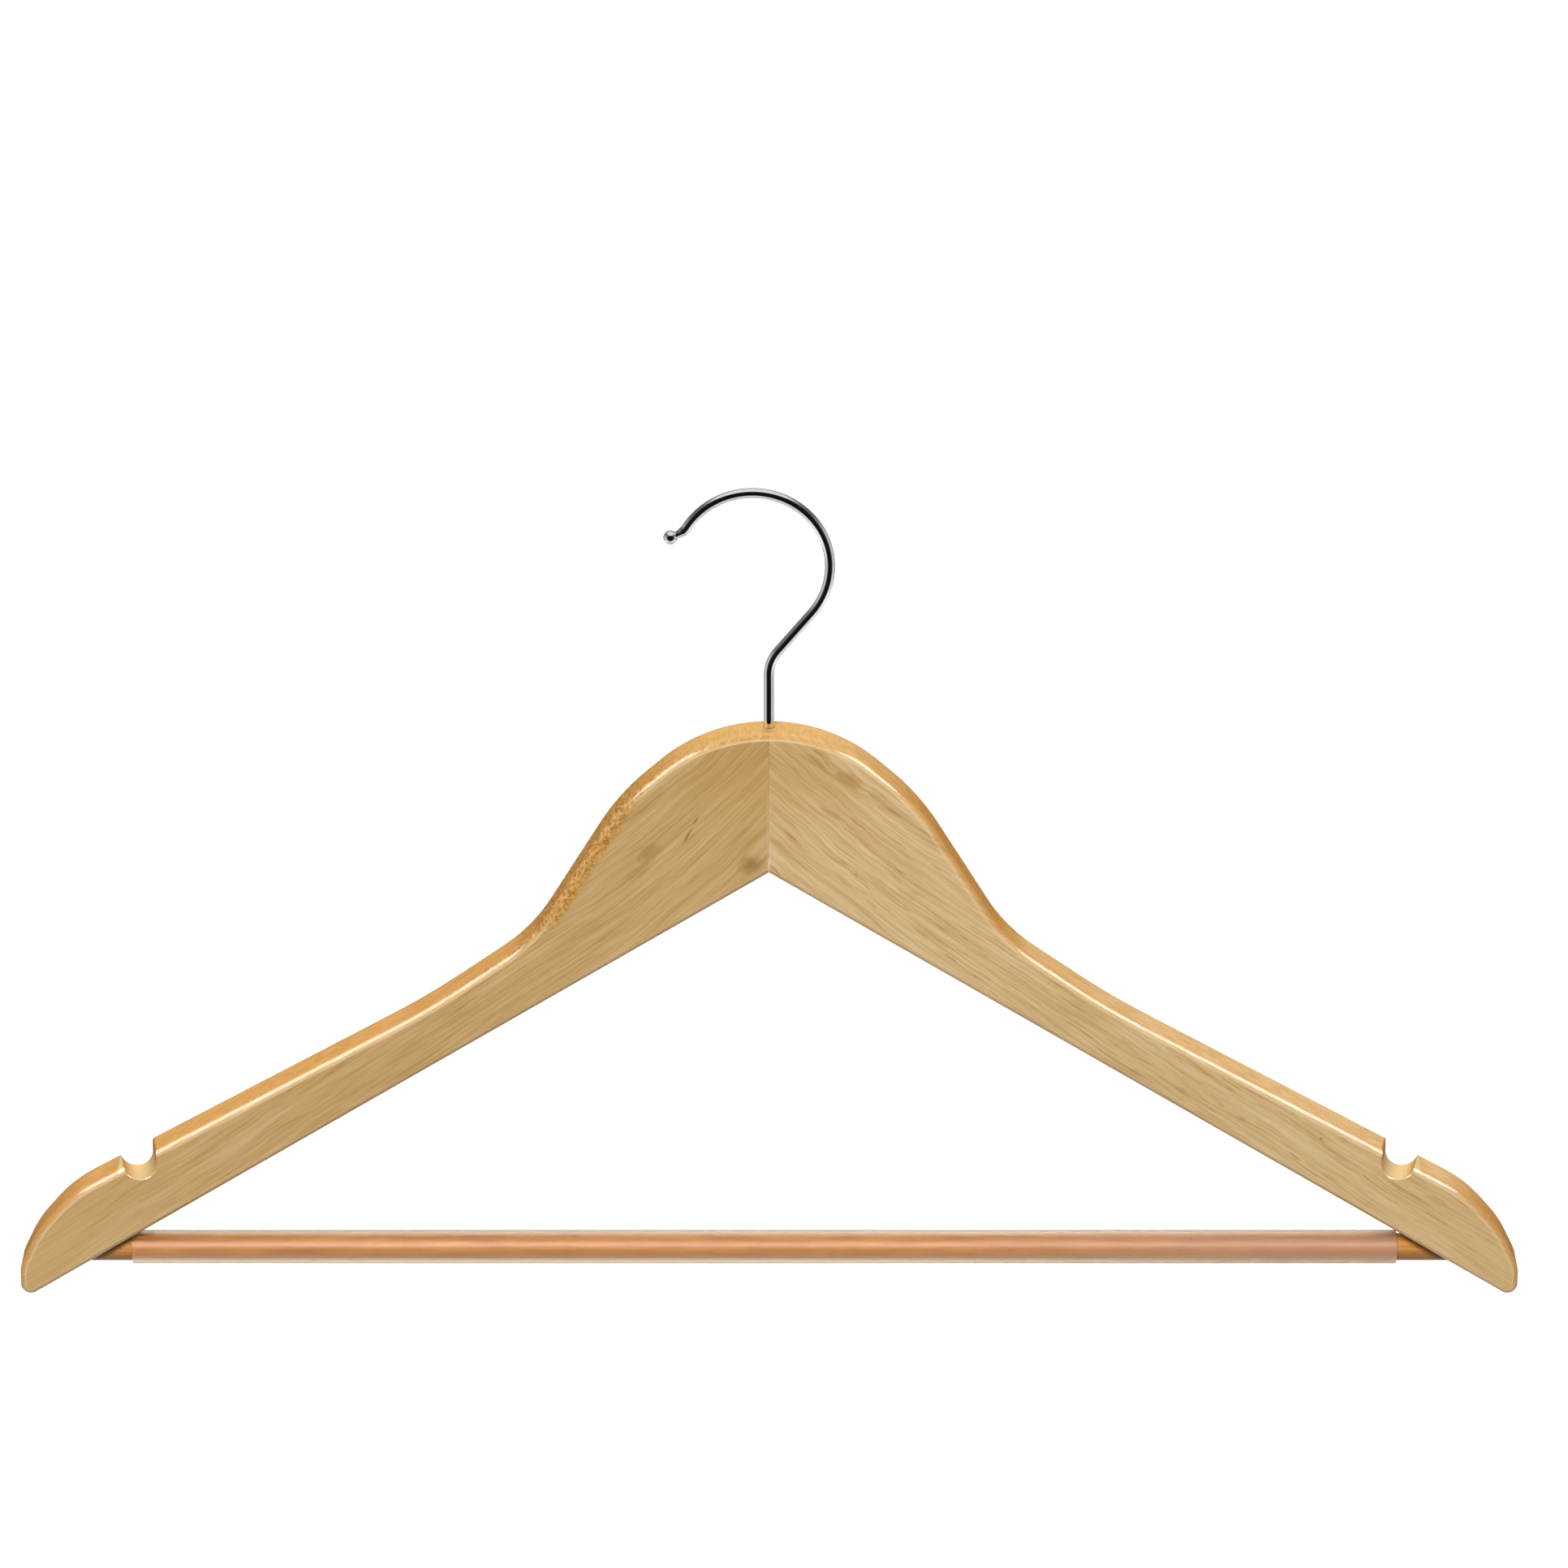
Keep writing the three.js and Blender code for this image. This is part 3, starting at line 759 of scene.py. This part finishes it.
def trouser_bar():
    ease = 0.6
    profile = [(0, BAR_RADIUS - ease), (ease, BAR_RADIUS)]
    steps = 80
    span = 2 * BAR_HALF - 2 * ease
    profile += [(ease + span * k / steps, BAR_RADIUS) for k in range(1, steps + 1)]
    profile.append((2 * BAR_HALF, BAR_RADIUS - ease))
    obj = lathe("trouser_dowel", profile, (-BAR_HALF, 0, BAR_Z), (1, 0, 0), 64)
    for side in (-1, 1):
        hole = [(-10, 0.74), (10, 0.74)]
        carve(obj, lathe("cutter", hole, (side * NAIL_X, 0, BAR_Z), (0, -1, 0), 24))
    finish_edges(obj)
    return obj


def sleeve():
    """A cut length of soft tube, a trifle out of round along its length."""
    sides, steps = 72, 120
    vertices, faces = [], []
    for radius in (SLEEVE_OUTER, SLEEVE_INNER):
        for r in range(steps + 1):
            x = SLEEVE_X - SLEEVE_HALF + 2 * SLEEVE_HALF * r / steps
            for k in range(sides):
                a = 2 * math.pi * k / sides
                slack = 0.0
                if radius == SLEEVE_OUTER:
                    slack = 0.018 * math.sin(x / 23.0 + 2 * a) * math.sin(x / 61.0 + 0.7) - 0.02
                r_here = radius + slack
                vertices.append((x, r_here * math.cos(a), BAR_Z + r_here * math.sin(a)))
    row = sides
    inner = (steps + 1) * row
    for r in range(steps):
        for k in range(sides):
            j = (k + 1) % sides
            a, b = r * row, (r + 1) * row
            faces.append((a + k, a + j, b + j, b + k))
            faces.append((inner + a + k, inner + b + k, inner + b + j, inner + a + j))
    for r in (0, steps):
        for k in range(sides):
            j = (k + 1) % sides
            a = r * row
            faces.append((a + k, inner + a + k, inner + a + j, a + j))
    obj = mesh_object("clear_tube", vertices, faces)
    obj.data.set_sharp_from_angle(angle=math.radians(40))
    return obj


def nail(name, side):
    profile = [
        (0.0, 0.5),
        (0.06, 1.0),
        (0.2, 1.22),
        (0.34, 1.25),
        (0.62, 0.72),
        (0.8, 0.7),
        (9.8, 0.7),
        (11.4, 0.12),
    ]
    return lathe(name, profile, (side * NAIL_X, THICKNESS / 2 - 0.3, BAR_Z), (0, -1, 0), 28)


def spline_piece():
    half_x, half_y, ease = SPLINE_HALF_X, SPLINE_HALF_Y, 0.4
    z0, z1 = SPLINE_BOTTOM, SPLINE_TOP
    corners = [(-half_x, z0, ease), (-half_x, z1, ease), (half_x, z1, ease), (half_x, z0, ease)]
    points = rounded(corners, math.radians(30))
    normals = outward(points)
    rings = []
    for y, inset in ((-half_y, ease), (-half_y + ease, 0), (half_y - ease, 0), (half_y, ease)):
        rings.append([(p.x - m.x * inset, y, p.y - m.y * inset) for p, m in zip(points, normals)])
    obj = loft("mitre_tongue", rings, smooth=False)
    bore = [(0, WIRE_BORE_RADIUS), (40, WIRE_BORE_RADIUS)]
    carve(obj, lathe("cutter", bore, (0, 0, 140), (0, 0, 1), 40))
    finish_edges(obj)
    return obj


# ---------------------------------------------------------------- build
LEFT_MARKS = [
    (-5.4, 137.4, 4.4, 3.3, 20, 0.6, "#A07C47"),
    (-5.4, 137.4, 2.0, 1.5, 20, 0.35, "#84602F"),
    (-34.9, 141.2, 4.6, 2.8, 35, 0.45, "#9A7B45"),
    (-38.5, 135.0, 6.5, 2.0, 40, 0.25, "#9A7B45"),
    (-23.6, 146.6, 3.2, 0.42, 60, 0.75, "#84602F"),
    (-21.2, 151.2, 2.2, 0.36, 55, 0.7, "#84602F"),
]
RIGHT_MARKS = [
    (23.6, 163.7, 5.0, 2.4, -28, 0.5, "#AE8038"),
    (18.3, 153.2, 4.6, 1.1, -32, 0.45, "#AE8038"),
    (13.4, 169.5, 5.0, 1.5, -35, 0.4, "#AE8038"),
    (25.6, 134.0, 1.2, 0.5, -50, 0.5, "#8C6A4A"),
    (163.0, 50.6, 0.55, 0.4, 0, 0.8, "#5A3E20"),
]
LEFT_TONES = ("#D9BB86", "#CCAA74", "#BB965A", "#A98249")
RIGHT_TONES = ("#E6CD9F", "#DABC89", "#C49F68", "#A47C44")

pieces = [
    (
        arm("left_shoulder", -1),
        arm_wood(
            "arm_wood_left", -1, LEFT_TONES, ("#DDA860", "#D3984A"), 9.0, 0.8, 0.3, 0.85, LEFT_MARKS
        ),
        "arm_wood",
        "hanger_body",
        "left_arm",
    ),
    (
        arm("right_shoulder", 1),
        arm_wood(
            "arm_wood_right", 1, RIGHT_TONES, ("#E4BE84", "#D69A45"), 6.0, 1.8, 0.6, 0.0, RIGHT_MARKS
        ),
        "arm_wood",
        "hanger_body",
        "right_arm",
    ),
    (spline_piece(), spline_wood(), "spline_wood", "hanger_body", "mitre_spline"),
    (hook(), chrome(), "hook_chrome", "hook_body", "hook"),
    (trouser_bar(), bar_wood(), "bar_wood", "hanger_body", "trouser_bar"),
    (sleeve(), clear_vinyl(), "clear_vinyl", "hanger_body", "bar_sleeve"),
]
steel = plated_steel()
pieces += [
    (washer(), steel, "fixing_steel", "hook_body", "hook_washer"),
    (lock_nut(), steel, "fixing_steel", "hook_body", "hook_lock_nut"),
    (nail("left_brad", -1), steel, "fixing_steel", "hanger_body", "left_bar_nail"),
    (nail("right_brad", 1), steel, "fixing_steel", "hanger_body", "right_bar_nail"),
]
for obj, material, slot, body, node in pieces:
    obj.data.materials.clear()
    obj.data.materials.append(material)
    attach(obj, body)
    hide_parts(node)


# ---------------------------------------------------------------- studio
def floor():
    """White ground, far enough down to leave the underside of the hanger in view."""
    mesh = bpy.data.meshes.new("floor")
    half, level = FLOOR_HALF, -FLOOR_DEPTH
    mesh.from_pydata(
        [(-half, -half, level), (half, -half, level), (half, half, level), (-half, half, level)],
        [],
        [(0, 1, 2, 3)],
    )
    obj = bpy.data.objects.new("floor", mesh)
    bpy.context.scene.collection.objects.link(obj)
    s = Shader("floor_white")
    s.set(Base_Color=(0.86, 0.86, 0.86, 1.0), Roughness=0.9)
    s.set(Emission_Color=(1.0, 1.0, 1.0, 1.0), Emission_Strength=1.0)
    mesh.materials.append(s.material)
    obj.visible_glossy = False
    obj.visible_diffuse = False


def world():
    """Studio surround: dark behind the camera, pale at the sides, overhead and far below."""
    w = bpy.data.worlds.new("studio")
    bpy.context.scene.world = w
    w.use_nodes = True
    tree = w.node_tree
    tree.nodes.clear()
    s = Shader.__new__(Shader)
    s.tree = tree
    out = tree.nodes.new("ShaderNodeOutputWorld")
    background = tree.nodes.new("ShaderNodeBackground")
    coord = tree.nodes.new("ShaderNodeTexCoord")
    tree.links.new(background.outputs[0], out.inputs[0])
    way = coord.outputs["Generated"]
    x, y, z = s.xyz(way)
    wide = s.math("ABSOLUTE", x)

    def lobe(weight, *factors):
        product = weight
        for factor in factors:
            product = s.math("MULTIPLY", factor, product)
        return product

    lobes = [
        lobe(0.62, s.smooth(z, -0.75, -0.35, 1.0, 0.0)),
        lobe(
            0.52,
            s.smooth(wide, 0.35, 0.75),
            s.smooth(z, 0.10, 0.50, 1.0, 0.0),
            s.smooth(y, 0.2, 0.7, 1.0, 0.3),
        ),
        lobe(0.75, s.smooth(z, 0.62, 0.85)),
        lobe(0.25, s.smooth(y, 0.45, 0.80), s.smooth(z, 0.10, 0.35)),
    ]
    level = 0.14
    for part in lobes:
        level = s.math("ADD", part, level)
    across = s.math("DIVIDE", x, 0.92)
    rise = s.math("DIVIDE", s.math("SUBTRACT", z, 0.03), 0.72)
    oval = s.math("ADD", s.math("MULTIPLY", across, across), s.math("MULTIPLY", rise, rise))
    front = s.math("MULTIPLY", s.smooth(oval, 0.75, 1.15, 1.0, 0.0), s.smooth(y, -0.1, 0.0, 1.0, 0.0))
    level = s.math("MULTIPLY", level, s.math("SUBTRACT", 1.0, s.math("MULTIPLY", front, 0.95)))
    s.put(background.inputs["Strength"], level)
    background.inputs["Color"].default_value = (1.0, 0.985, 0.97, 1.0)


def softbox(name, way, distance, width, height, watts, gloss, diffuse, lit=None):
    """A rectangular lamp aimed at the middle of the hanger, for the objects in lit if that is given."""
    data = bpy.data.lights.new(name, "AREA")
    data.shape = "RECTANGLE"
    data.size, data.size_y = width, height
    data.energy = watts
    data.color = (1.0, 0.965, 0.945)
    obj = bpy.data.objects.new(name, data)
    bpy.context.scene.collection.objects.link(obj)
    centre = Vector((0, 0, 0.09))
    obj.location = centre + Vector(way).normalized() * distance
    obj.rotation_euler = (centre - obj.location).to_track_quat("-Z", "Y").to_euler()
    obj.visible_glossy = gloss
    obj.visible_diffuse = diffuse
    obj.visible_camera = False
    obj.visible_transmission = diffuse
    if lit:
        obj.light_linking.receiver_collection = lit


def camera():
    data = bpy.data.cameras.new("camera")
    obj = bpy.data.objects.new("camera", data)
    bpy.context.scene.collection.objects.link(obj)
    bpy.context.scene.camera = obj
    elevation = math.radians(20.7)
    distance = 2.6
    data.sensor_width = 36.0
    data.lens = 36.0 * distance / 0.4573
    data.clip_start = 0.05
    data.clip_end = 60.0
    aim = Vector((0.0044, 0.0, 0.1599))
    obj.location = aim + Vector((0, -math.cos(elevation), math.sin(elevation))) * distance
    obj.rotation_euler = (math.pi / 2 - elevation, 0, 0)


floor()
world()
# The shine lamps reach only the arms, so that they don't wash out the chrome and the sleeve.
arms = bpy.data.collections.new("arms")
for arm_piece, *_ in pieces[:2]:
    arms.objects.link(arm_piece)
softbox("key", (-0.10, -0.85, 0.62), 2.6, 1.6, 1.2, 60, False, True)
softbox("back_fill", (0.15, 0.80, 0.60), 2.6, 1.6, 1.6, 30, False, True)
softbox("left_shine", (-0.70, -0.30, 0.66), 2.0, 0.85, 0.8, 38, True, False, arms)
softbox("right_shine", (0.70, -0.30, 0.66), 2.0, 0.75, 0.7, 36, True, False, arms)
camera()
bpy.context.scene.view_settings.view_transform = "Standard"
bpy.context.scene.view_settings.look = "None"
